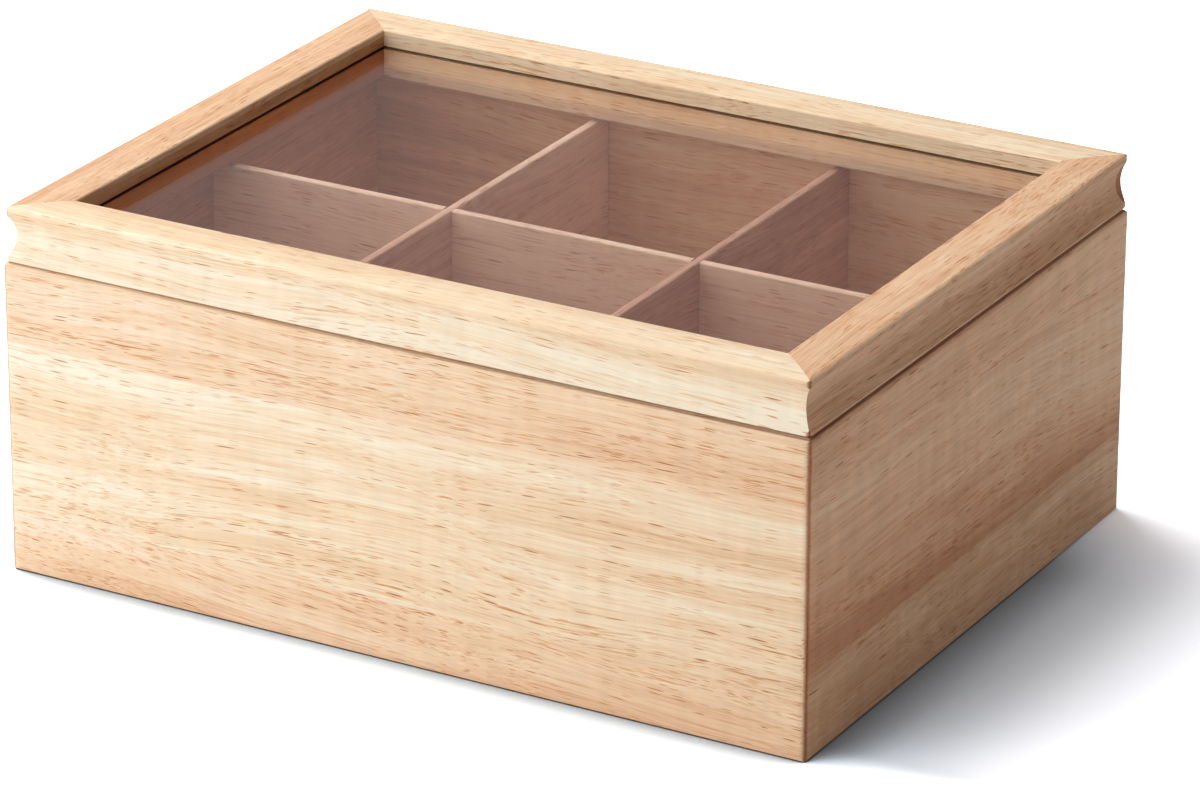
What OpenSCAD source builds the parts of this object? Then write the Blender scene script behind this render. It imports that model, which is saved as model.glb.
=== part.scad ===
// Tea bag organizer box: a mitred wooden box with six compartments and a hinged lid,
// whose coved frame holds a clear pane. X runs left to right, Y front to back, Z up.
// The origin is on the underside, in the middle of the footprint.

/* [Body] */
// Width of the body over its side panels
box_w = 280; // [220:1:360]
// Depth of the body over its front and back panels
box_d = 215; // [160:1:280]
// Height of the body's four wall panels
body_h = 102.5; // [70:0.5:140]
// Thickness of the wall panels
wall = 9; // [8.5:0.5:12]
// Rounding of the four upright corners
corner_r = 2.6; // [1:0.2:4]
// Rounding of the arris round the rim
rim_r = 1.7; // [0.3:0.1:2]
// Rounding of the arris round the base
base_r = 1.5; // [0.3:0.1:2]

/* [Bottom panel] */
// Thickness of the plywood bottom
bottom_t = 3.6; // [2.4:0.2:6]
// Height of the bottom's underside above the base
bottom_lift = 5; // [3:0.5:12]
// Depth of the groove that holds the bottom, in each wall
bottom_groove = 4; // [2:0.5:5]

/* [Dividers] */
// Thickness of the three dividers
divider_t = 3; // [2:0.2:5]
// How far the dividers' tops lie below the rim
divider_drop = 1; // [0.5:0.5:20]
// Rounding of the dividers' top arrises
divider_r = 0.6; // [0.2:0.1:0.9]
// Depth of the housings that hold the dividers' ends, in the walls
housing = 1.5; // [1:0.5:3]

/* [Lid frame] */
// Height of the lid frame
lid_h = 18.1; // [16.5:0.1:24]
// Distance from the body's outer face to the frame's inner face
rail_w = 17; // [15:0.5:24]
// Seam between the closed lid and the body
seam = 0.4; // [0.3:0.1:1]
// How far the frame's front and sides lie inside the body's outer faces
frame_inset = 0.9; // [0.4:0.1:1.2]
// How far the frame's back lies inside the body's back face
back_inset = 0; // [0:0.1:1]
// Depth of the cove in the frame's outer face
cove_depth = 2.8; // [1.5:0.1:3.2]
// Height of the deepest line of the cove above the frame's underside
cove_z = 8.4; // [8.2:0.1:8.6]
// Height of the bottom lip below the cove
lip_h = 1; // [0.8:0.1:1.6]
// Rounding of the nose along the front and side rails
nose_r = 1.7; // [0.8:0.1:1.9]
// Rounding of the back rail's upper edge
back_edge_r = 0.8; // [0.4:0.1:1.9]
// Rounding of the bottom lip
lip_r = 0.7; // [0.3:0.1:0.8]
// Rounding of the frame's inner edge above the pane
inner_r = 0.8; // [0.4:0.1:3]
// How far the frame's top rises between its two edges
crown = 0.4; // [0.2:0.1:0.8]

/* [Pane] */
// Thickness of the pane
pane_t = 2; // [1.5:0.1:3]
// Depth of the pane groove's top below the top of the frame
pane_drop = 5.9; // [4.5:0.1:6.5]
// Depth of the pane groove in each rail
pane_groove = 4.5; // [3:0.5:6]

/* [Hinges] */
// Length of each hinge
hinge_l = 30; // [24:1:40]
// Distance from the body's side face to the near end of each hinge
hinge_end = 40; // [25:1:60]
// Radius of the hinge barrel
barrel_r = 2; // [1.7:0.1:2.2]
// Radius of the hinge pin
pin_r = 1; // [0.7:0.05:1.1]
// Thickness of the hinge leaves
leaf_t = 1; // [0.7:0.1:1.2]
// Width of each leaf in front of the pin's axis
leaf_w = 6; // [5.5:0.1:6.2]
// Number of knuckles on each hinge
knuckles = 3; // [3:2:5]
// Angle at which the lid comes to rest on its bevelled back edge
open_angle = 95; // [80:1:110]

/* [Screws] */
// Radius of the hinge screws' shanks
screw_r = 0.9; // [0.7:0.1:1.1]
// Radius of the screws' countersunk heads
screw_head_r = 1.7; // [1.5:0.1:1.9]
// Length of the screws
screw_l = 7; // [5:0.5:8]
// Distance from each end of a leaf to the screw near it
screw_end = 6; // [4:0.5:8]

/* [Clearances] */
// Play round pieces that are held in grooves, housings and mortises
slack = 0.1; // [0.05:0.05:0.2]
// Play at the edges of the bottom and the pane, for the timber to move
edge_play = 0.5; // [0.3:0.1:1]
// Air above the pane in its groove
pane_air = 0.5; // [0.3:0.1:0.6]
// Running clearance between the hinge pin and its knuckles
pin_play = 0.05; // [0.02:0.01:0.1]
// Gap between knuckles, and round the barrel
knuckle_gap = 0.3; // [0.3:0.05:0.5]

/* [Hidden] */
$fn = 64;
over = 1;

inner_w = box_w - 2 * wall;
inner_d = box_d - 2 * wall;
floor_z = bottom_lift + bottom_t;
divider_top = body_h - divider_drop;
divider_h = divider_top - floor_z;
cell_w = (inner_w - 2 * divider_t) / 3;
cross_x = (cell_w + divider_t) / 2;
lap_z = floor_z + divider_h / 2;

lid_z = body_h + seam;
rail_mid = (frame_inset + rail_w) / 2;
crown_r = arc_radius(rail_w - frame_inset, crown);
cove_r = arc_radius(2 * (cove_z - lip_h), cove_depth);
groove_top = lid_h - pane_drop;
groove_h = pane_t + pane_air;

axis_y = box_d / 2 - barrel_r;
axis_z = body_h + seam / 2;
hinge_x = box_w / 2 - hinge_end - hinge_l / 2;
pocket_r = barrel_r + knuckle_gap;
knuckle_l = (hinge_l - (knuckles - 1) * knuckle_gap) / knuckles;
knuckle_pitch = knuckle_l + knuckle_gap;
bevel_angle = open_angle / 2 + 0.5;
bevel_play = 0.15;
head_h = screw_head_r - screw_r;
screw_y = axis_y - (pocket_r + leaf_w) / 2;
tip_h = 2 * screw_r;

timber = "burlywood";
timber_dark = "tan";
plywood = "wheat";
clear = [0.8, 0.85, 0.9, 0.4];
brass = "darkgoldenrod";

// Radius of an arc, from its chord and its rise
function arc_radius(chord, rise) = (pow(chord / 2, 2) + pow(rise, 2)) / (2 * rise);

// Height of the frame's crowned top at a distance u from the body's outer face
function crown_z(u) = lid_h - crown_r + sqrt(pow(crown_r, 2) - pow(u - rail_mid, 2));

// ---- Shapes that the pieces share ----

// What rounds a square corner: the corner is at the origin and the solid lies in +X +Y
module ease(r) {
    difference() {
        translate([-over, -over]) square(r + over);
        translate([r, r]) circle(r);
    }
}

// Rectangle centred on the origin, with its four corners rounded
module rounded_rect(w, d, r) {
    difference() {
        square([w, d], center = true);
        for (x = [-1, 1], y = [-1, 1]) scale([x, y]) translate([-w / 2, -d / 2]) ease(r);
    }
}

// Draws a child in Y and Z, and extrudes it along X, centred
module along_x(length) {
    rotate([90, 0, 90]) linear_extrude(length, center = true) children();
}

// Draws a child in X and Z, and extrudes it along Y, centred
module along_y(length) {
    rotate([90, 0, 0]) linear_extrude(length, center = true) children();
}

// Plan of what lies in front of the two front mitres, as deep as a frame's members
module front_mitre(depth) {
    polygon([
        [-box_w / 2 - over, -box_d / 2 - over],
        [box_w / 2 + over, -box_d / 2 - over],
        [box_w / 2 - depth, -box_d / 2 + depth],
        [-box_w / 2 + depth, -box_d / 2 + depth]
    ]);
}

// Plan of what lies left of the two left mitres, as deep as a frame's members
module left_mitre(depth) {
    polygon([
        [-box_w / 2 - over, -box_d / 2 - over],
        [-box_w / 2 + depth, -box_d / 2 + depth],
        [-box_w / 2 + depth, box_d / 2 - depth],
        [-box_w / 2 - over, box_d / 2 + over]
    ]);
}

// ---- Body ----

// What the bevel takes off the body's back edge, seen along X from the hinge axis. The lid
// is bevelled by its mirror image, and the two faces meet when the lid is open
module seam_bevel() {
    rotate(-bevel_angle) translate([-wall, -bevel_play]) square(2 * wall);
}

// Upright section of the body with its base and rim arrises rounded
module body_section(width) {
    difference() {
        translate([-width / 2, 0]) square([width, body_h]);
        for (x = [-1, 1]) scale([x, 1]) {
            translate([-width / 2, 0]) ease(base_r);
            translate([-width / 2, body_h]) scale([1, -1]) ease(rim_r);
        }
    }
}

// The body's outer form, before it is parted into panels and hollowed
module body_block() {
    intersection() {
        linear_extrude(body_h) rounded_rect(box_w, box_d, corner_r);
        along_y(box_d + over) body_section(box_w);
        along_x(box_w + over) difference() {
            body_section(box_d);
            translate([axis_y, axis_z]) seam_bevel();
        }
    }
}

// Groove that the bottom panel sits in
module bottom_slot() {
    w = inner_w + 2 * bottom_groove;
    d = inner_d + 2 * bottom_groove;
    translate([-w / 2, -d / 2, bottom_lift]) cube([w, d, bottom_t + slack]);
}

// Housings in the walls for the ends of the three dividers
module divider_housings() {
    w = divider_t + 2 * slack;
    translate([-inner_w / 2 - housing, -w / 2, floor_z])
        cube([inner_w + 2 * housing, w, body_h]);
    for (x = [-cross_x, cross_x]) translate([x - w / 2, -inner_d / 2 - housing, floor_z])
        cube([w, inner_d + 2 * housing, body_h]);
}

// Mortise for one leaf in the edge of the timber, from the axis of the pin forwards
module leaf_mortise() {
    l = hinge_l + 2 * knuckle_gap;
    translate([-hinge_l / 2 - slack, -leaf_w - slack, -seam / 2 - leaf_t])
        cube([hinge_l + 2 * slack, leaf_w + slack, leaf_t + over]);
    rotate([0, 90, 0]) cylinder(h = l, r = pocket_r, center = true);
}

// Places a child at the middle of each hinge's axis
module at_hinges(sides = [-1, 1]) {
    for (side = sides) translate([side * hinge_x, axis_y, axis_z]) children();
}

// Places a child at each hole in a leaf, at the leaf's face in the seam
module at_screws() {
    for (x = [-1, 1]) translate([x * (hinge_l / 2 - screw_end), screw_y - axis_y, -seam / 2]) children();
}

// Cuts that all four walls share
module body_cuts() {
    translate([-inner_w / 2, -inner_d / 2, -over]) cube([inner_w, inner_d, body_h + 2 * over]);
    bottom_slot();
    divider_housings();
}

module front_panel() {
    color(timber) difference() {
        intersection() {
            body_block();
            linear_extrude(body_h) front_mitre(wall);
        }
        body_cuts();
    }
}

module back_panel() {
    color(timber) difference() {
        intersection() {
            body_block();
            linear_extrude(body_h) mirror([0, 1]) front_mitre(wall);
        }
        body_cuts();
        at_hinges() {
            leaf_mortise();
            at_screws() pilot_hole();
        }
    }
}

module left_panel() {
    color(timber_dark) difference() {
        intersection() {
            body_block();
            linear_extrude(body_h) left_mitre(wall);
        }
        body_cuts();
    }
}

module right_panel() {
    mirror([1, 0, 0]) left_panel();
}

module bottom_panel() {
    w = inner_w + 2 * (bottom_groove - edge_play);
    d = inner_d + 2 * (bottom_groove - edge_play);
    color(plywood) translate([-w / 2, -d / 2, bottom_lift]) cube([w, d, bottom_t]);
}

// ---- Dividers ----

// Cross-section of a divider, standing on the bottom panel
module divider_section() {
    difference() {
        translate([-divider_t / 2, floor_z]) square([divider_t, divider_h]);
        for (x = [-1, 1]) scale([x, 1]) translate([-divider_t / 2, divider_top]) scale([1, -1])
            ease(divider_r);
    }
}

// The long divider is slotted from its top, where the cross dividers drop in
module long_divider() {
    slot = divider_t + 2 * slack;
    color(timber_dark) difference() {
        along_x(inner_w + 2 * (housing - slack)) divider_section();
        for (x = [-cross_x, cross_x]) translate([x - slot / 2, -divider_t, lap_z - slack])
            cube([slot, 2 * divider_t, divider_h]);
    }
}

// A cross divider is slotted from its foot, and straddles the long divider
module cross_divider(x) {
    slot = divider_t + 2 * slack;
    color(timber_dark) translate([x, 0, 0]) difference() {
        along_y(inner_d + 2 * (housing - slack)) divider_section();
        translate([-divider_t, -slot / 2, floor_z - over]) cube([2 * divider_t, slot, lap_z - floor_z + over]);
    }
}

module cross_divider_left() {
    cross_divider(-cross_x);
}

module cross_divider_right() {
    cross_divider(cross_x);
}

// ---- Lid ----

// The rails' sections are drawn with the body's outer face at X = 0, the timber in +X and
// the frame's underside at Y = 0
module cove() {
    translate([frame_inset + cove_depth - cove_r, cove_z]) circle(cove_r, $fn = 128);
}

// A rail's blank: crowned, with its outer and inner upper edges rounded, and the pane's groove.
// Its outer face lies inset inside the body's, and r rounds the edge above that face
module rail_blank(inset, r) {
    difference() {
        intersection() {
            translate([inset, 0]) square([rail_w - inset, lid_h + over]);
            translate([rail_mid, lid_h - crown_r]) circle(crown_r, $fn = 256);
        }
        translate([inset, crown_z(inset + r)]) scale([1, -1]) ease(r);
        translate([rail_w, crown_z(rail_w - inner_r)]) scale([-1, -1]) ease(inner_r);
        translate([rail_w - pane_groove, groove_top - groove_h]) square([pane_groove + over, groove_h]);
    }
}

// Section of the front and side rails
module coved_section() {
    difference() {
        rail_blank(frame_inset, nose_r);
        cove();
        translate([frame_inset, 0]) ease(lip_r);
    }
}

// The frame's outline in plan, with its four corners rounded
module frame_plan() {
    translate([0, (frame_inset - back_inset) / 2])
        rounded_rect(box_w - 2 * frame_inset, box_d - frame_inset - back_inset, corner_r);
}

// Bevel along the back of the frame's underside
module frame_bevel() {
    along_x(box_w + over) translate([axis_y, axis_z]) scale([1, -1]) seam_bevel();
}

module lid_front_rail() {
    color(timber) translate([0, 0, lid_z]) intersection() {
        along_x(box_w) translate([-box_d / 2, 0]) coved_section();
        linear_extrude(lid_h) intersection() {
            front_mitre(rail_w + over);
            frame_plan();
        }
    }
}

// The side rails' coves run out through the ends of the back rail
module lid_back_rail() {
    color(timber) difference() {
        translate([0, 0, lid_z]) intersection() {
            along_x(box_w) scale([-1, 1]) translate([-box_d / 2, 0]) rail_blank(back_inset, back_edge_r);
            linear_extrude(lid_h) intersection() {
                mirror([0, 1]) front_mitre(rail_w + over);
                frame_plan();
            }
        }
        for (side = [-1, 1]) translate([0, 0, lid_z]) along_y(box_d)
            scale([side, 1]) translate([-box_w / 2, 0]) cove();
        frame_bevel();
        at_hinges() mirror([0, 0, 1]) {
            leaf_mortise();
            at_screws() pilot_hole();
        }
    }
}

module lid_left_rail() {
    color(timber_dark) difference() {
        translate([0, 0, lid_z]) intersection() {
            along_y(box_d) translate([-box_w / 2, 0]) coved_section();
            linear_extrude(lid_h) intersection() {
                left_mitre(rail_w + over);
                frame_plan();
            }
        }
        frame_bevel();
    }
}

module lid_right_rail() {
    mirror([1, 0, 0]) lid_left_rail();
}

module lid_pane() {
    edge = rail_w - pane_groove + edge_play;
    w = box_w - 2 * edge;
    d = box_d - 2 * edge;
    color(clear) translate([-w / 2, -d / 2, lid_z + groove_top - groove_h]) cube([w, d, pane_t]);
}

// ---- Hinges ----

// One leaf with its own knuckles: first is the index of its first knuckle, and the leaf
// lies below the seam, with the axis of the pin along X through the origin
module hinge_leaf(first) {
    web = pocket_r + over;
    difference() {
        union() {
            translate([-hinge_l / 2, -leaf_w, -seam / 2 - leaf_t])
                cube([hinge_l, leaf_w - pocket_r, leaf_t]);
            for (i = [first : 2 : knuckles - 1]) translate([-hinge_l / 2 + i * knuckle_pitch, 0, 0]) {
                rotate([0, 90, 0]) cylinder(h = knuckle_l, r = barrel_r);
                translate([0, -web, -seam / 2 - leaf_t]) cube([knuckle_l, web, leaf_t]);
            }
        }
        rotate([0, 90, 0]) cylinder(h = hinge_l + 2 * over, r = pin_r + pin_play, center = true);
        at_screws() screw_hole();
    }
}

// Countersunk hole through a leaf
module screw_hole() {
    translate([0, 0, -head_h]) cylinder(h = head_h, r1 = screw_r + slack, r2 = screw_head_r + slack);
    translate([0, 0, -leaf_t - over]) cylinder(h = leaf_t + 2 * over, r = screw_r + slack);
}

// Hole in the timber for a screw's shank
module pilot_hole() {
    translate([0, 0, -screw_l - slack]) cylinder(h = screw_l, r = screw_r + slack / 2);
}

module hinge_pin() {
    rotate([0, 90, 0]) cylinder(h = hinge_l, r = pin_r, center = true);
}

// Countersunk screw with a slotted head and a pointed tip, hanging from its head's face
module screw() {
    face = slack;
    difference() {
        translate([0, 0, -face]) rotate_extrude() polygon([
            [0, 0],
            [screw_head_r, 0],
            [screw_r, -head_h],
            [screw_r, -screw_l + tip_h],
            [0, -screw_l]
        ]);
        translate([-screw_head_r, -screw_r / 4, -face - head_h / 2])
            cube([2 * screw_head_r, screw_r / 2, head_h]);
    }
}

module left_hinge_body_leaf() {
    color(brass) at_hinges([-1]) hinge_leaf(0);
}

module left_hinge_lid_leaf() {
    color(brass) at_hinges([-1]) mirror([0, 0, 1]) hinge_leaf(1);
}

module left_hinge_pin() {
    color(brass) at_hinges([-1]) hinge_pin();
}

module right_hinge_body_leaf() {
    color(brass) at_hinges([1]) hinge_leaf(0);
}

module right_hinge_lid_leaf() {
    color(brass) at_hinges([1]) mirror([0, 0, 1]) hinge_leaf(1);
}

module right_hinge_pin() {
    color(brass) at_hinges([1]) hinge_pin();
}

module body_leaf_screws() {
    color(brass) at_hinges() at_screws() screw();
}

module lid_leaf_screws() {
    color(brass) at_hinges() mirror([0, 0, 1]) at_screws() screw();
}

front_panel();
back_panel();
left_panel();
right_panel();
bottom_panel();
long_divider();
cross_divider_left();
cross_divider_right();
lid_front_rail();
lid_back_rail();
lid_left_rail();
lid_right_rail();
lid_pane();
left_hinge_body_leaf();
left_hinge_lid_leaf();
left_hinge_pin();
right_hinge_body_leaf();
right_hinge_lid_leaf();
right_hinge_pin();
body_leaf_screws();
lid_leaf_screws();
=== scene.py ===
import math

import bmesh
import bpy
from mathutils import Matrix, Vector

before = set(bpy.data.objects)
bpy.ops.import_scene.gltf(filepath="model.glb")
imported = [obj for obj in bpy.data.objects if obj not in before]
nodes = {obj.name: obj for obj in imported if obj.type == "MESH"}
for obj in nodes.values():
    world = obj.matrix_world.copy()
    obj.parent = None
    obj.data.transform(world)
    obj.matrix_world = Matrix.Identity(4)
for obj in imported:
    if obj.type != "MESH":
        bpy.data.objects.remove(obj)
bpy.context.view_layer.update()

# Tea bag organizer box: rubberwood walls and lid moulding, thin wooden dividers, a clear
# pane held in the lid, and two small brass butt hinges. Lengths are metres, and those whose
# name ends in _mm are millimetres. The front faces -Y.

MM = 0.001


# ---------------------------------------------------------------- shader helpers

def linear(hex_colour):
    """An sRGB hex colour as the linear RGBA that a shader takes."""
    channels = [int(hex_colour[i:i + 2], 16) / 255 for i in (1, 3, 5)]
    return [c / 12.92 if c <= 0.04045 else ((c + 0.055) / 1.055) ** 2.4 for c in channels] + [1.0]


def add(tree, kind, settings=None, **inputs):
    """Adds one node. Inputs are sockets by name, or by place as in_0, in_1 and so on: a value
    is set, and an output socket is linked."""
    node = tree.nodes.new(kind)
    for name, value in (settings or {}).items():
        setattr(node, name, value)
    for name, value in inputs.items():
        place = int(name[3:]) if name.startswith("in_") else name.replace("_", " ")
        socket = node.inputs[place]
        if isinstance(value, bpy.types.NodeSocket):
            tree.links.new(value, socket)
        else:
            socket.default_value = value
    return node


def new_material(name):
    """A named material and its emptied node tree."""
    material = bpy.data.materials.new(name)
    material.use_nodes = True
    material.node_tree.nodes.clear()
    return material, material.node_tree


def ramp(tree, factor, stops, interpolation="LINEAR"):
    """A ramp through (place, linear RGBA) stops."""
    node = add(tree, "ShaderNodeValToRGB", Fac=factor)
    node.color_ramp.interpolation = interpolation
    elements = node.color_ramp.elements
    while len(elements) < len(stops):
        elements.new(0.5)
    for element, (place, colour) in zip(elements, stops):
        element.position = place
        element.color = colour
    return node.outputs["Color"]


def evenly(hex_colours):
    """Ramp stops that give hex colours at equal steps."""
    return [(i / (len(hex_colours) - 1), linear(c)) for i, c in enumerate(hex_colours)]


def dress(name, material):
    """Gives a CAD node its one material."""
    nodes[name].data.materials.clear()
    nodes[name].data.materials.append(material)


# ---------------------------------------------------------------- wood

# Sizes of what the wood shows, in mm along the grain and then across it. The real vessels are
# finer than these dashes and hairs, which are as coarse as it takes to show them.
WANDER_MM = (130, 48, 48)       # the grain's slow wander, over a hand's width
WANDER_REACH_MM = (0, 14, 14)   # how far it wanders
RINGS_MM = (190, 6, 6)          # growth rings between the board's own bands
STREAKS_MM = (42, 0.9, 0.9)     # fibre streaks
SHEEN_RIPPLE_MM = (5, 26, 26)         # painted sheen: a soft ripple across the grain
CROWD_MM = (55, 3.2, 3.2)       # patches where vessels crowd
HAIR_MM = (26, 0.42, 0.42)      # vessels as fine as hairs
# Vessels cut into dashes, short and long: cell in mm, radius in the cell, share of the cells
# that hold one, and how dark the darkest are. A dash is fully dark in the core of its radius,
# and the palest dashes are this share of the darkest.
DASHES = (((8.0, 0.45, 0.45), 0.38, 1.2, 0.75), ((15.0, 0.75, 0.75), 0.30, 0.8, 0.95))
DASH_CORE = 0.55
DASH_PALEST = 0.3
CROWD_EDGE, CROWD_LEAST = (0.42, 0.62), 0.12    # where in the noise a patch begins and is full
HAIR_EDGE = (0.56, 0.74)
HAIR_DARK, HAIR_CROWDED = 0.22, 0.6             # on bare ground, and what crowding adds
RING_GAIN, STREAK_GAIN = 0.65, 1.0
TONE_MIDDLE = 0.80              # what rings and streaks add together at their middles

# A ramp holds no negative number, so a strip's slope is kept about the middle of its green
# channel. Its red channel keeps the strip's place in the log, and LOG_MM is the whole channel.
NO_SLOPE = 0.5
STRIP_STEP = 0.25
LOG_MM = 900.0

# Painted shade in the seam under the lid: along the grain from one end to the other, up the wall's
# rounded edge, down the lid's, and off the faces that lie flat (as the size of the normal's Z)
SEAM_ENDS_MM = (-140.0, 100.0)
SEAM_ON_WALL_MM = (101.95, 102.5)
SEAM_ON_LID_MM = (103.45, 103.0)
SEAM_OFF_FLAT = (0.995, 0.9)
PAINTED_SEAM_COLOUR = "#764A30"
# the darker lacquer on end grain, partly painted shade on the rounded corners
END_GRAIN_AND_SHADE = "#B4805E"
END_GRAIN_TURN = (0.35, 0.75)   # how far a surface has turned into the grain
LACQUER_ROUGHNESS, LACQUER_SWING = 0.6, 0.05
PORE_SINK = -0.6                # how deep a pore sinks, to a streak's height of 1
RELIEF_MM = 0.04


def scaled(tree, vector, cell_mm):
    """vector in mm divided by a cell size in mm along the grain and across it."""
    return add(tree, "ShaderNodeVectorMath", {"operation": "DIVIDE"}, in_0=vector,
               in_1=cell_mm).outputs[0]


def mixed_in(tree, value, gain, base):
    """base + gain * value."""
    return add(tree, "ShaderNodeMath", {"operation": "MULTIPLY_ADD"}, in_0=value, in_1=gain,
               in_2=base).outputs[0]


def wood(name, tones, pore_shades, along, cut_mm, staves, figure, span_mm, pores=1.0,
         painted_sheen_gain=0.03, tone_and_shade_lean=0.0, seam=(0.6, 0.6)):
    """Sawn timber whose grain runs along X or Y.

    tones run from the palest wood to the darkest, and pore_shades, which darken them, from the
    bare wood to a deep pore. cut_mm is where in the log the piece lies. staves are the glued
    strips of the board as (top edge, grain slope, tint), lowest first, and figure its growth
    bands as (height, tone 0 to 1, pore density 0 to 1), both over the heights of span_mm.
    pores scales how many vessels show, and painted_sheen_gain how strong the painted sheen is.
    tone_and_shade_lean is how much the tone gains over 100 mm along the grain, which on some
    boards is painted light and shade. seam is how dark the painted shade at the lid's seam is on
    the rounded edges, at one end of SEAM_ENDS_MM and at the other.
    """
    material, tree = new_material(name)
    coords = add(tree, "ShaderNodeTexCoord").outputs
    turn = math.radians(-90 if along == "Y" else 0)
    laid = add(tree, "ShaderNodeMapping", Vector=coords["Object"], Scale=(1000, 1000, 1000),
               Rotation=(0, 0, turn)).outputs[0]
    part = add(tree, "ShaderNodeSeparateXYZ", Vector=laid).outputs

    # which glued strip of the board a point is in, and that strip's slope and tint
    low, high = span_mm
    height = add(tree, "ShaderNodeMapRange", Value=part["Z"], From_Min=low,
                 From_Max=high).outputs[0]
    strips, tints, edge = [], [], 0.0
    for i, (top, slope, stain) in enumerate(staves):
        strips.append((edge, (i * STRIP_STEP, NO_SLOPE + slope, 0, 1)))
        tints.append((edge, linear(stain)))
        edge = (top - low) / (high - low)
    strip = add(tree, "ShaderNodeSeparateColor",
                Color=ramp(tree, height, strips, "CONSTANT")).outputs
    tint = ramp(tree, height, tints, "CONSTANT")
    slope = add(tree, "ShaderNodeMath", {"operation": "SUBTRACT"}, in_0=strip["Green"],
                in_1=NO_SLOPE).outputs[0]
    drift = add(tree, "ShaderNodeMath", {"operation": "MULTIPLY"}, in_0=slope,
                in_1=part["X"]).outputs[0]
    log = add(tree, "ShaderNodeMath", {"operation": "MULTIPLY"}, in_0=strip["Red"],
              in_1=LOG_MM).outputs[0]
    shift = add(tree, "ShaderNodeCombineXYZ", X=log, Y=0.0, Z=drift).outputs[0]
    at = add(tree, "ShaderNodeVectorMath", {"operation": "ADD"}, in_0=laid, in_1=cut_mm).outputs[0]
    at = add(tree, "ShaderNodeVectorMath", {"operation": "ADD"}, in_0=at, in_1=shift).outputs[0]

    # the grain's slow wander
    wander = add(tree, "ShaderNodeTexNoise", Vector=scaled(tree, at, WANDER_MM), Scale=1.0,
                 Detail=1.0).outputs["Color"]
    wander = add(tree, "ShaderNodeVectorMath", {"operation": "SUBTRACT"}, in_0=wander,
                 in_1=(0.5, 0.5, 0.5)).outputs[0]
    wander = add(tree, "ShaderNodeVectorMath", {"operation": "MULTIPLY"}, in_0=wander,
                 in_1=WANDER_REACH_MM).outputs[0]
    fibre = add(tree, "ShaderNodeVectorMath", {"operation": "ADD"}, in_0=at, in_1=wander).outputs[0]

    # growth bands: the board's own figure, and finer rings between
    wandered = add(tree, "ShaderNodeSeparateXYZ", Vector=wander).outputs["Z"]
    level = add(tree, "ShaderNodeMath", {"operation": "ADD"}, in_0=part["Z"], in_1=drift).outputs[0]
    level = add(tree, "ShaderNodeMath", {"operation": "ADD"}, in_0=level, in_1=wandered).outputs[0]
    level = add(tree, "ShaderNodeMapRange", Value=level, From_Min=low, From_Max=high).outputs[0]
    bands = [((at_mm - low) / (high - low), (tone_here, density_here, 0, 1))
             for at_mm, tone_here, density_here in figure]
    band = add(tree, "ShaderNodeSeparateColor", Color=ramp(tree, level, bands)).outputs
    rings = add(tree, "ShaderNodeTexNoise", Vector=scaled(tree, fibre, RINGS_MM), Scale=1.0,
                Detail=2.0, Roughness=0.5).outputs[0]
    streaks = add(tree, "ShaderNodeTexNoise", Vector=scaled(tree, fibre, STREAKS_MM), Scale=1.0,
                  Detail=4.0, Roughness=0.7).outputs[0]
    ripple = add(tree, "ShaderNodeTexNoise", Vector=scaled(tree, at, SHEEN_RIPPLE_MM), Scale=1.0,
                 Detail=2.0).outputs[0]

    # the tone leans along the grain, which on some boards is painted light and shade
    tone = mixed_in(tree, part["X"], tone_and_shade_lean / 100, band["Red"])
    tone = mixed_in(tree, rings, RING_GAIN, tone)
    tone = mixed_in(tree, streaks, STREAK_GAIN, tone)
    tone = add(tree, "ShaderNodeMath", {"operation": "SUBTRACT"}, in_0=tone,
               in_1=TONE_MIDDLE).outputs[0]
    colour = ramp(tree, tone, evenly(tones))
    colour = add(tree, "ShaderNodeMix", {"data_type": "RGBA", "blend_type": "MULTIPLY"},
                 Factor=1.0, in_6=colour, in_7=tint).outputs[2]
    # painted sheen: the colour swells and dims softly across the grain
    painted_sheen = add(tree, "ShaderNodeMapRange", Value=ripple, From_Min=0.3, From_Max=0.7,
                  To_Min=1 - painted_sheen_gain, To_Max=1 + painted_sheen_gain).outputs[0]
    colour = add(tree, "ShaderNodeVectorMath", {"operation": "SCALE"}, in_0=colour,
                 Scale=painted_sheen).outputs[0]

    # vessels: the open pores of the wood, cut by the surface into short dark dashes, which
    # crowd along the growth bands
    crowd = add(tree, "ShaderNodeTexNoise", Vector=scaled(tree, fibre, CROWD_MM), Scale=1.0,
                Detail=2.0).outputs[0]
    crowd = add(tree, "ShaderNodeMapRange", {"interpolation_type": "SMOOTHSTEP"}, Value=crowd,
                From_Min=CROWD_EDGE[0], From_Max=CROWD_EDGE[1], To_Min=CROWD_LEAST).outputs[0]
    density = add(tree, "ShaderNodeMath", {"operation": "MULTIPLY"}, in_0=crowd,
                  in_1=band["Green"]).outputs[0]
    hair = add(tree, "ShaderNodeTexNoise", Vector=scaled(tree, fibre, HAIR_MM), Scale=1.0,
               Detail=1.0).outputs[0]
    hair = add(tree, "ShaderNodeMapRange", {"interpolation_type": "SMOOTHSTEP"}, Value=hair,
               From_Min=HAIR_EDGE[0], From_Max=HAIR_EDGE[1]).outputs[0]
    marks = mixed_in(tree, density, HAIR_CROWDED, HAIR_DARK)
    marks = add(tree, "ShaderNodeMath", {"operation": "MULTIPLY"}, in_0=hair,
                in_1=marks).outputs[0]
    for cell_mm, radius, share, strength in DASHES:
        cells = add(tree, "ShaderNodeTexVoronoi", Vector=scaled(tree, fibre, cell_mm), Scale=1.0)
        dash = add(tree, "ShaderNodeMapRange", {"interpolation_type": "SMOOTHSTEP"},
                   Value=cells.outputs["Distance"], From_Min=radius,
                   From_Max=DASH_CORE * radius).outputs[0]
        chance = add(tree, "ShaderNodeSeparateColor", Color=cells.outputs["Color"]).outputs
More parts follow.
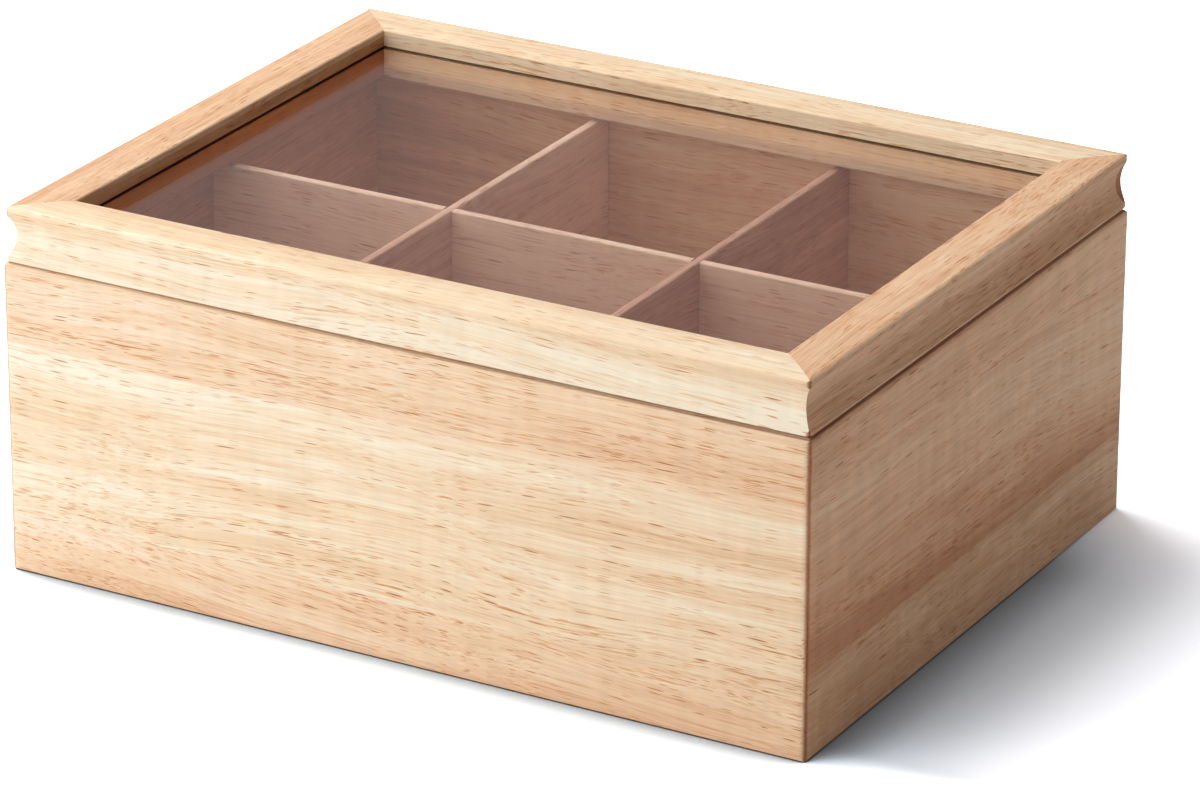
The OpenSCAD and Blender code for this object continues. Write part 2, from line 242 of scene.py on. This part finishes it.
        limit = add(tree, "ShaderNodeMath", {"operation": "MULTIPLY"}, in_0=density,
                    in_1=share * pores).outputs[0]
        open_pore = add(tree, "ShaderNodeMath", {"operation": "LESS_THAN"}, in_0=chance["Red"],
                        in_1=limit).outputs[0]
        depth = add(tree, "ShaderNodeMapRange", Value=chance["Green"],
                    To_Min=DASH_PALEST * strength, To_Max=strength).outputs[0]
        mark = add(tree, "ShaderNodeMath", {"operation": "MULTIPLY"}, in_0=dash,
                   in_1=open_pore).outputs[0]
        mark = add(tree, "ShaderNodeMath", {"operation": "MULTIPLY"}, in_0=mark,
                   in_1=depth).outputs[0]
        marks = add(tree, "ShaderNodeMath", {"operation": "MAXIMUM"}, in_0=marks,
                    in_1=mark).outputs[0]

    # end grain, where a rounded corner cuts across the fibres, takes the lacquer darker, and this
    # darkening is partly painted shade on the rounds
    end_grain_and_shade = add(tree, "ShaderNodeSeparateXYZ", Vector=coords["Normal"]).outputs[along]
    end_grain_and_shade = add(tree, "ShaderNodeMath", {"operation": "ABSOLUTE"}, in_0=end_grain_and_shade).outputs[0]
    end_grain_and_shade = add(tree, "ShaderNodeMapRange", {"interpolation_type": "SMOOTHSTEP"}, Value=end_grain_and_shade,
                 From_Min=END_GRAIN_TURN[0], From_Max=END_GRAIN_TURN[1]).outputs[0]
    colour = add(tree, "ShaderNodeMix", {"data_type": "RGBA", "blend_type": "MULTIPLY"},
                 Factor=end_grain_and_shade, in_6=colour, in_7=linear(END_GRAIN_AND_SHADE)).outputs[2]

    # painted shade in the seam under the lid, over the rounded edges on both sides
    up = add(tree, "ShaderNodeSeparateXYZ", Vector=coords["Normal"]).outputs["Z"]
    up = add(tree, "ShaderNodeMath", {"operation": "ABSOLUTE"}, in_0=up).outputs[0]
    near, far = SEAM_ENDS_MM
    painted_seam_mask = add(tree, "ShaderNodeMapRange", Value=part["X"], From_Min=near, From_Max=far,
               To_Min=seam[0], To_Max=seam[1]).outputs[0]
    for value, (start, end) in ((part["Z"], SEAM_ON_WALL_MM), (part["Z"], SEAM_ON_LID_MM),
                                (up, SEAM_OFF_FLAT)):
        inside = add(tree, "ShaderNodeMapRange", Value=value, From_Min=start,
                     From_Max=end).outputs[0]
        painted_seam_mask = add(tree, "ShaderNodeMath", {"operation": "MULTIPLY"}, in_0=painted_seam_mask,
                   in_1=inside).outputs[0]
    colour = add(tree, "ShaderNodeMix", {"data_type": "RGBA", "blend_type": "MULTIPLY"},
                 Factor=painted_seam_mask, in_6=colour, in_7=linear(PAINTED_SEAM_COLOUR)).outputs[2]
    shade = ramp(tree, marks, evenly(pore_shades))
    stained = add(tree, "ShaderNodeMix", {"data_type": "RGBA", "blend_type": "MULTIPLY"},
                  Factor=1.0, in_6=colour, in_7=shade).outputs[2]

    relief = mixed_in(tree, marks, PORE_SINK, streaks)
    bump = add(tree, "ShaderNodeBump", Strength=0.2, Distance=RELIEF_MM * MM,
               Height=relief).outputs[0]
    satin = add(tree, "ShaderNodeMapRange", Value=streaks, From_Min=0.3, From_Max=0.7,
                To_Min=LACQUER_ROUGHNESS - LACQUER_SWING,
                To_Max=LACQUER_ROUGHNESS + LACQUER_SWING).outputs[0]
    shader = add(tree, "ShaderNodeBsdfPrincipled", Base_Color=stained, Roughness=satin,
                 Normal=bump, IOR=1.45, Specular_IOR_Level=0.35)
    add(tree, "ShaderNodeOutputMaterial", Surface=shader.outputs[0])
    return material


# Rubberwood (plantation hardwood) under a clear satin lacquer: pale cream to peach ground,
# brown vessel dashes up to 9 mm long.
RUBBERWOOD = ["#FFF2DA", "#F9E0BD", "#F0CEA8", "#E2B78F", "#CF9F77"]
PORE = ["#FFFFFF", "#E9C5A2", "#A96B42"]

# The dividers and the bottom are thinner wood of a pinker tone, under the same lacquer.
DIVIDER_WOOD = ["#FFE4CC", "#EFC8AE", "#D4A68E", "#BC8F7A"]
DIVIDER_PORE = ["#FFFFFF", "#E3C8BA", "#9A7464"]

WHITE, PEACH, ROSE = "#FFFFFF", "#FEF6F3", "#F8E4DA"
WALL_MM = (0, 102.5)
RAIL_MM = (102.5, 121.5)
boards = {
    "front_panel": dict(
        along="X", cut_mm=(0, 0, 40), span_mm=WALL_MM, tone_and_shade_lean=0.07, seam=(0.15, 1.0),
        staves=[(19.5, 0.05, PEACH), (76.8, -0.02, WHITE), (103, -0.015, PEACH)],
        figure=[(0, 0.36, 0.45), (12, 0.24, 0.5), (20, 0.26, 0.7), (24, 0.3, 0.95),
                (34, 0.2, 0.75), (40, 0.16, 0.3), (46, 0.34, 0.45), (50, 0.16, 0.25),
                (58, 0.34, 0.35), (64, 0.24, 0.2), (75, 0.14, 0.25), (80, 0.3, 0.8),
                (86, 0.34, 1.0), (92, 0.24, 0.5), (103, 0.22, 0.55)]),
    # painted shade: the tone darkens towards the left end, for the shade of the left rail over the
    # inside of the wall
    "back_panel": dict(
        along="X", cut_mm=(300, 0, 200), span_mm=WALL_MM, tone_and_shade_lean=-0.25,
        staves=[(40, 0.01, PEACH), (103, 0.03, WHITE)],
        figure=[(0, 0.4, 0.3), (30, 0.6, 0.7), (50, 0.4, 0.4), (80, 0.6, 0.8), (103, 0.4, 0.4)]),
    "left_panel": dict(
        along="Y", cut_mm=(700, 0, 500), span_mm=WALL_MM,
        staves=[(60, 0.02, PEACH), (103, -0.02, "#F3E1D2")],
        figure=[(0, 0.3, 0.4), (25, 0.45, 0.6), (58, 0.55, 0.4), (85, 0.75, 0.8),
                (103, 0.95, 0.5)]),
    # painted light: the tone pales towards the back, where more light falls on this side
    "right_panel": dict(
        along="Y", cut_mm=(900, 0, 900), span_mm=WALL_MM, painted_sheen_gain=0.05, tone_and_shade_lean=-0.1,
        seam=(1.0, 0.9),
        staves=[(27.5, 0.02, WHITE), (83.3, 0.03, ROSE), (103, 0.01, ROSE)],
        figure=[(0, 0.9, 0.2), (10, 0.82, 0.2), (20, 0.82, 0.2), (28, 1.0, 0.3),
                (38, 0.85, 0.45), (50, 0.5, 0.4), (62, 0.35, 0.2), (76, 0.3, 0.15),
                (84, 0.45, 0.3), (92, 0.4, 0.3), (103, 0.55, 0.2)]),
    "lid_front_rail": dict(
        along="X", cut_mm=(100, 0, 1300), span_mm=RAIL_MM, seam=(0.15, 1.0),
        staves=[(122, 0.01, WHITE)],
        figure=[(102.5, 0.0, 0.35), (112, 0.05, 0.3), (118, 0.35, 0.3), (121.5, 0.25, 0.3)]),
    "lid_back_rail": dict(
        along="X", cut_mm=(500, 0, 1700), span_mm=RAIL_MM, staves=[(122, -0.01, WHITE)],
        figure=[(102.5, 0.3, 0.4), (121.5, 0.3, 0.5)]),
    # painted shade: the darker, oranger figure and lower stave stand for the shade on the rail's
    # inner face
    "lid_left_rail": dict(
        along="Y", cut_mm=(200, 0, 2100), span_mm=RAIL_MM,
        staves=[(118.5, 0.01, "#E9CCB2"), (122, 0.01, PEACH)],
        figure=[(102.5, 1.0, 0.4), (114, 0.9, 0.4), (118, 0.6, 0.5), (121.5, 0.55, 0.5)]),
    "lid_right_rail": dict(
        along="Y", cut_mm=(800, 0, 2500), span_mm=RAIL_MM, seam=(1.0, 0.9),
        staves=[(122, -0.01, PEACH)],
        figure=[(102.5, 0.7, 0.4), (112, 0.85, 0.5), (118, 0.6, 0.5), (121.5, 0.55, 0.7)]),
}
for board, cut in boards.items():
    dress(board, wood("rubberwood_" + board, RUBBERWOOD, PORE, **cut))

# board, grain, where in the log it was cut, its tone, and how the tone leans along the grain. The
# tones differ board by board, and the long divider is paler than the cross dividers partly as
# painted light on its lit front and painted shade on their shaded sides
for board, along, where, tone, tone_and_shade_lean in (("long_divider", "X", 0, 0.0, 0.0),
                                        ("cross_divider_left", "Y", 400, 0.4, -0.4),
                                        ("cross_divider_right", "Y", 800, 0.6, -0.1),
                                        ("bottom_panel", "X", 1200, 0.7, 0.0)):
    dress(board, wood("divider_wood_" + board, DIVIDER_WOOD, DIVIDER_PORE, along=along,
                      cut_mm=(where, 0, where), span_mm=WALL_MM, staves=[(103, 0.01, WHITE)],
                      figure=[(0, tone, 0.5), (100, tone, 0.5)], pores=0.8, tone_and_shade_lean=tone_and_shade_lean))


# ---------------------------------------------------------------- pane, hinges and screws

def clear_pane():
    """Clear sheet glass, 2 mm, polished on both faces. Lamps shine through it to the tea
    compartments."""
    material, tree = new_material("clear_sheet_glass")
    glass = add(tree, "ShaderNodeBsdfPrincipled", Base_Color=linear("#F4F1F0"), Roughness=0.0,
                IOR=1.5, Transmission_Weight=1.0)
    through = add(tree, "ShaderNodeBsdfTransparent", Color=linear("#E2DAD4"))
    shadow_ray = add(tree, "ShaderNodeLightPath").outputs["Is Shadow Ray"]
    mixed = add(tree, "ShaderNodeMixShader", Fac=shadow_ray, in_1=glass.outputs[0],
                in_2=through.outputs[0])
    add(tree, "ShaderNodeOutputMaterial", Surface=mixed.outputs[0])
    return material


# Brush marks 12.5 mm long and 0.25 mm apart. The real ones are finer.
BRUSH_MARKS_PER_M = (80, 4000, 4000)


def brass(name, colour):
    """Rolled brass sheet and wire with a brushed finish: a warm yellow whose shine is softer in
    some marks than in others."""
    material, tree = new_material(name)
    place = add(tree, "ShaderNodeTexCoord").outputs["Object"]
    at = add(tree, "ShaderNodeVectorMath", {"operation": "MULTIPLY"}, in_0=place,
             in_1=BRUSH_MARKS_PER_M).outputs[0]
    brushed = add(tree, "ShaderNodeTexNoise", Vector=at, Scale=1.0, Detail=2.0).outputs[0]
    rough = add(tree, "ShaderNodeMapRange", Value=brushed, To_Min=0.22, To_Max=0.42).outputs[0]
    shader = add(tree, "ShaderNodeBsdfPrincipled", Base_Color=linear(colour), Metallic=1.0,
                 Roughness=rough)
    add(tree, "ShaderNodeOutputMaterial", Surface=shader.outputs[0])
    return material


dress("lid_pane", clear_pane())
hinge_brass = brass("brushed_brass", "#D9B66A")
screw_brass = brass("screw_brass", "#C9A254")
for name in nodes:
    if "screws" in name:
        dress(name, screw_brass)
    elif "hinge" in name:
        dress(name, hinge_brass)


# ---------------------------------------------------------------- floor, light and camera

def seen_by(tree, *kinds):
    """1 for rays of these Light Path kinds that come straight to the camera or through glass,
    else 0."""
    path = add(tree, "ShaderNodeLightPath").outputs
    seen = 0.0
    for kind in kinds:
        seen = add(tree, "ShaderNodeMath", {"operation": "MAXIMUM"}, in_0=seen,
                   in_1=path[kind]).outputs[0]
    bounces = add(tree, "ShaderNodeMath", {"operation": "ADD"}, in_0=path["Diffuse Depth"],
                  in_1=path["Glossy Depth"]).outputs[0]
    direct = add(tree, "ShaderNodeMath", {"operation": "LESS_THAN"}, in_0=bounces,
                 in_1=0.5).outputs[0]
    return add(tree, "ShaderNodeMath", {"operation": "MULTIPLY"}, in_0=seen,
               in_1=direct).outputs[0]


FLOOR_SIZE = 12.0
FLOOR_SELF_LIGHT = 0.02
FLOOR_SEEN_GAIN = 2.2               # how much brighter the sheet is exposed than the box
# painted light in front of the box
PAINTED_FRONT_LIGHT_GAIN = 2.7 * FLOOR_SEEN_GAIN
FRONT_FADE = (-0.092, -0.114)       # Y over which the painted front light comes in
# painted shade on the floor: its reaches in metres, and where the light comes from that the box
# cuts off
SHADE_REACHES = (0.130, 0.050, 0.020)
SHADE_FROM = Vector((-0.45, -0.90, 0.05)).normalized()      # in front and to the left
FAR_CORNER = (0.045, 0.125)         # Y over which the painted shade fades at the back

sheet = bmesh.new()
bmesh.ops.create_grid(sheet, x_segments=1, y_segments=1, size=FLOOR_SIZE / 2)
floor_mesh = bpy.data.meshes.new("studio_floor")
sheet.to_mesh(floor_mesh)
sheet.free()
floor = bpy.data.objects.new("studio_floor", floor_mesh)
bpy.context.scene.collection.objects.link(floor)
floor_material, tree = new_material("white_studio_paper")
seen = seen_by(tree, "Is Camera Ray", "Is Transmission Ray")
# painted shade beside the box, for the light from the front and the left that the box cuts off:
# deepest over the last few millimetres, and fading at the far corner, where light from behind comes
# round it
shade = 1.0
for reach in SHADE_REACHES:
    painted_sky_share = add(tree, "ShaderNodeAmbientOcclusion", {"samples": 12}, Distance=reach,
                   Normal=SHADE_FROM).outputs["AO"]
    shade = add(tree, "ShaderNodeMath", {"operation": "MULTIPLY"}, in_0=shade,
                in_1=painted_sky_share).outputs[0]
along_y = add(tree, "ShaderNodeSeparateXYZ",
              Vector=add(tree, "ShaderNodeTexCoord").outputs["Object"]).outputs["Y"]
far_corner = add(tree, "ShaderNodeMapRange", {"interpolation_type": "SMOOTHSTEP"},
                 Value=along_y, From_Min=FAR_CORNER[0], From_Max=FAR_CORNER[1]).outputs[0]
shade = add(tree, "ShaderNodeMix", Factor=far_corner, in_2=shade, in_3=1.0).outputs[0]
# painted shade turns bluish grey as it deepens
painted_floor_shading = ramp(tree, shade, evenly(["#000000", "#B2BDC6", "#F4F5F8"]))
# painted light: the sheet's colour is brighter in front of the box, so that hardly any shade is
# left there
painted_front_light = add(tree, "ShaderNodeMapRange", {"interpolation_type": "SMOOTHSTEP"},
               Value=along_y, From_Min=FRONT_FADE[0], From_Max=FRONT_FADE[1],
               To_Min=FLOOR_SEEN_GAIN, To_Max=PAINTED_FRONT_LIGHT_GAIN).outputs[0]
painted_floor_shading = add(tree, "ShaderNodeVectorMath", {"operation": "SCALE"}, in_0=painted_floor_shading,
             Scale=painted_front_light).outputs[0]
white = add(tree, "ShaderNodeMix", {"data_type": "RGBA"}, Factor=seen, in_6=linear("#F2F3F6"),
            in_7=painted_floor_shading).outputs[2]
paper = add(tree, "ShaderNodeBsdfDiffuse", Color=white)
glow = add(tree, "ShaderNodeEmission", Color=linear("#FFFFFF"),
           Strength=add(tree, "ShaderNodeMath", {"operation": "MULTIPLY"}, in_0=seen,
                        in_1=FLOOR_SELF_LIGHT).outputs[0])
both = add(tree, "ShaderNodeAddShader", in_0=paper.outputs[0], in_1=glow.outputs[0])
add(tree, "ShaderNodeOutputMaterial", Surface=both.outputs[0])
floor_mesh.materials.append(floor_material)

# The room gives the box a soft dome of light. The pane and the brass mirror its pale wall,
# which is brighter to the left. The camera, and what it sees through glass, has plain white.
DOME_LIGHT = (0.07, 0.38)           # low down, and overhead
DOME_RISE = (0.3, 0.9)              # the height of a direction, 1 straight up
WALL_LIGHT = (0.17, 0.31)           # to the right, and to the left
WALL_TURN = (-0.38, -0.52)          # the X of a direction

world = bpy.data.worlds.new("soft_room")
world.use_nodes = True
world.node_tree.nodes.clear()
room = world.node_tree
towards = add(room, "ShaderNodeSeparateXYZ",
              Vector=add(room, "ShaderNodeTexCoord").outputs["Generated"]).outputs
dome = add(room, "ShaderNodeMapRange", Value=towards["Z"], From_Min=DOME_RISE[0],
           From_Max=DOME_RISE[1], To_Min=DOME_LIGHT[0], To_Max=DOME_LIGHT[1]).outputs[0]
wall = add(room, "ShaderNodeMapRange", Value=towards["X"], From_Min=WALL_TURN[0],
           From_Max=WALL_TURN[1], To_Min=WALL_LIGHT[0], To_Max=WALL_LIGHT[1]).outputs[0]
mirrored = add(room, "ShaderNodeLightPath").outputs["Is Glossy Ray"]
strength = add(room, "ShaderNodeMix", Factor=mirrored, in_2=dome, in_3=wall).outputs[0]
sky = add(room, "ShaderNodeBackground", Color=linear("#F4F6FB"), Strength=strength)
backdrop = add(room, "ShaderNodeBackground", Color=linear("#FFFFFF"), Strength=1.0)
shown = add(room, "ShaderNodeMixShader",
            Fac=seen_by(room, "Is Camera Ray", "Is Transmission Ray"),
            in_1=sky.outputs[0], in_2=backdrop.outputs[0])
add(room, "ShaderNodeOutputWorld", Surface=shown.outputs[0])
bpy.context.scene.world = world


BOX_MIDDLE = Vector((0, 0, 0.060))
FAR_LAMP = 1.3      # how far from it the large soft boxes stand


def soft_box(name, size, power, place):
    """A square studio soft box, size metres across, that faces the middle of the box."""
    lamp = bpy.data.lights.new(name, "AREA")
    lamp.shape = "SQUARE"
    lamp.size = size
    lamp.energy = power
    holder = bpy.data.objects.new(name, lamp)
    holder.location = place
    holder.rotation_euler = (BOX_MIDDLE - Vector(place)).to_track_quat("-Z", "Y").to_euler()
    bpy.context.scene.collection.objects.link(holder)


def around(azimuth, elevation, distance):
    """A place seen from the box's middle: azimuth 0 is in front of it and 90 to its left, in
    degrees."""
    a, e = math.radians(azimuth), math.radians(elevation)
    towards_it = Vector((-math.sin(a) * math.cos(e), -math.cos(a) * math.cos(e), math.sin(e)))
    return towards_it * distance + BOX_MIDDLE


soft_box("top_soft_box", 0.9, 11.8, around(110, 60, FAR_LAMP))
soft_box("front_soft_box", 0.9, 7.2, around(27, 15, FAR_LAMP))
soft_box("over_front_soft_box", 0.9, 3.7, around(15, 55, FAR_LAMP))
soft_box("rear_reflector", 0.5, 0.53, (0.75, 0.50, 0.20))

# The camera stands in front and to the right of the box, a little above it. BOX_MIDDLE falls
# AIM_OFFSET_PX to the right of the image's middle and below it.
AZIMUTH, ELEVATION, ROLL = math.radians(29.397), math.radians(22.735), math.radians(-0.188)
LENS_MM, SENSOR_MM, DISTANCE = 189.645, 36.0, 1.9742
IMAGE_WIDTH, AIM_OFFSET_PX = 1200, (-27.946, -38.752)

forward = Vector((-math.sin(AZIMUTH) * math.cos(ELEVATION),
                  math.cos(AZIMUTH) * math.cos(ELEVATION), -math.sin(ELEVATION)))
level = forward.cross(Vector((0, 0, 1))).normalized()
down = forward.cross(level)
right = math.cos(ROLL) * level + math.sin(ROLL) * down
down = -math.sin(ROLL) * level + math.cos(ROLL) * down
pixel = DISTANCE / (LENS_MM / SENSOR_MM * IMAGE_WIDTH)
camera = bpy.data.objects.new("camera", bpy.data.cameras.new("camera"))
camera.data.lens, camera.data.sensor_width = LENS_MM, SENSOR_MM
aside = (AIM_OFFSET_PX[0] * right + AIM_OFFSET_PX[1] * down) * pixel
stand = BOX_MIDDLE - DISTANCE * forward - aside
camera.matrix_world = Matrix.Translation(stand) @ Matrix(
    [[right[i], -down[i], -forward[i]] for i in range(3)]).to_4x4()
bpy.context.scene.collection.objects.link(camera)
bpy.context.scene.camera = camera
bpy.context.scene.view_settings.view_transform = "Standard"
